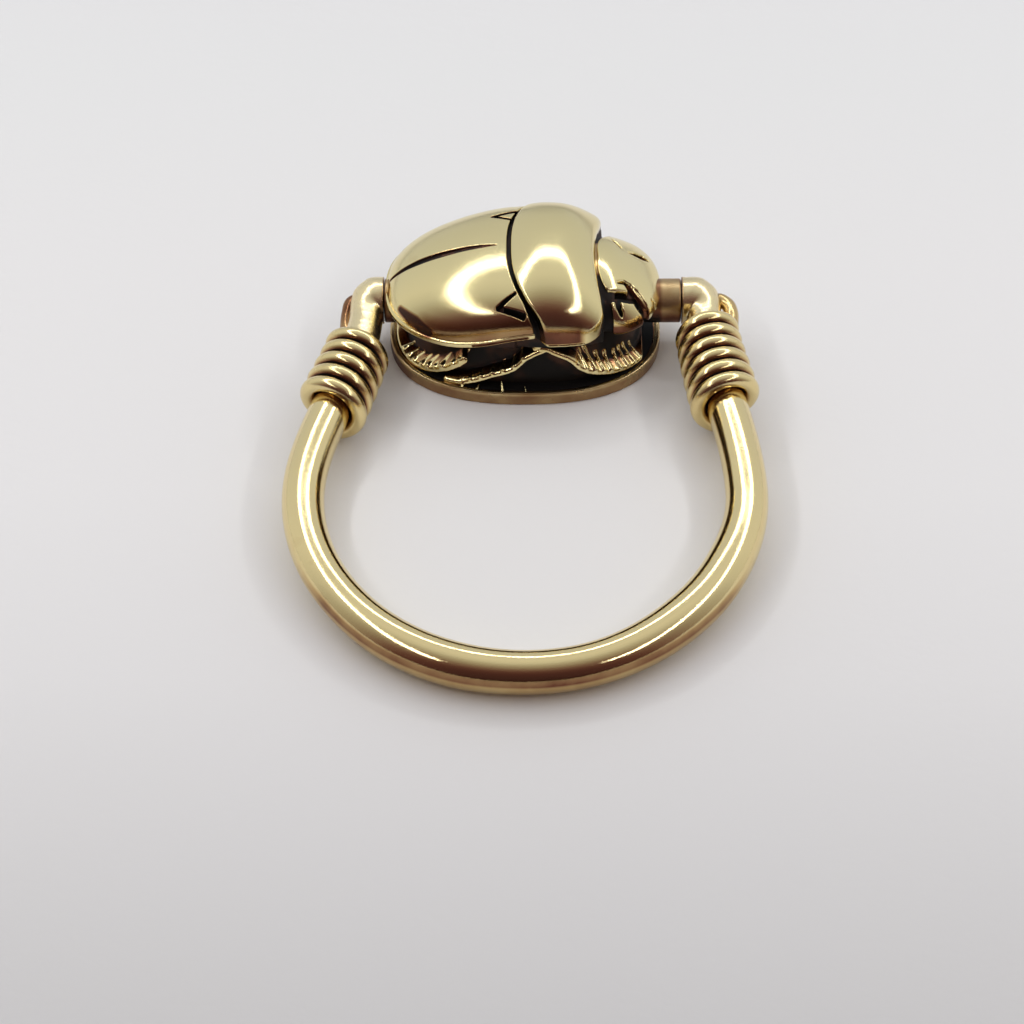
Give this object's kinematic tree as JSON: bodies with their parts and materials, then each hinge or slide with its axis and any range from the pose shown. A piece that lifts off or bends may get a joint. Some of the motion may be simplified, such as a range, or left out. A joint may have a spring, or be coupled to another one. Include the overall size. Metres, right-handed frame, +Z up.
{
  "type": "scarab swivel ring",
  "caption": "Gold-coloured finger ring: a beetle on an oval seal plate turns on a wire between the ends of a round hoop, the wire wound round its shoulders.",
  "frame": {"origin": "middle of the flat seal face under the beetle, where the ring stands on a table", "axes": "+X along the pivot toward the beetle's head, +Z up out of its back, the hoop lies toward -Y at rest"},
  "size_m": [0.0208, 0.0265, 0.0061],
  "materials": {
    "scarab_gold": "polished yellow gold with fine scratches, near-black in the recesses",
    "plate_gold": "polished yellow gold, worn along the rim",
    "tube_gold": "dull yellow gold with brown patina",
    "shank_gold": "polished yellow gold with fine brushing along the rod",
    "wire_gold": "polished yellow gold, brown-black between the turns"
  },
  "bodies": {
    "scarab": {"scarab_body": "scarab_gold", "seal_plate": "plate_gold", "pivot_tube": "tube_gold"},
    "hoop": {"shank": "shank_gold", "swivel_wire": "wire_gold"}
  },
  "joints": [
    {"name": "scarab_swivel", "type": "hinge", "parent": "scarab", "child": "hoop", "pos_m": [0, 0, 0.0022], "axis": [-1, 0, 0], "continuous": true}
  ]
}
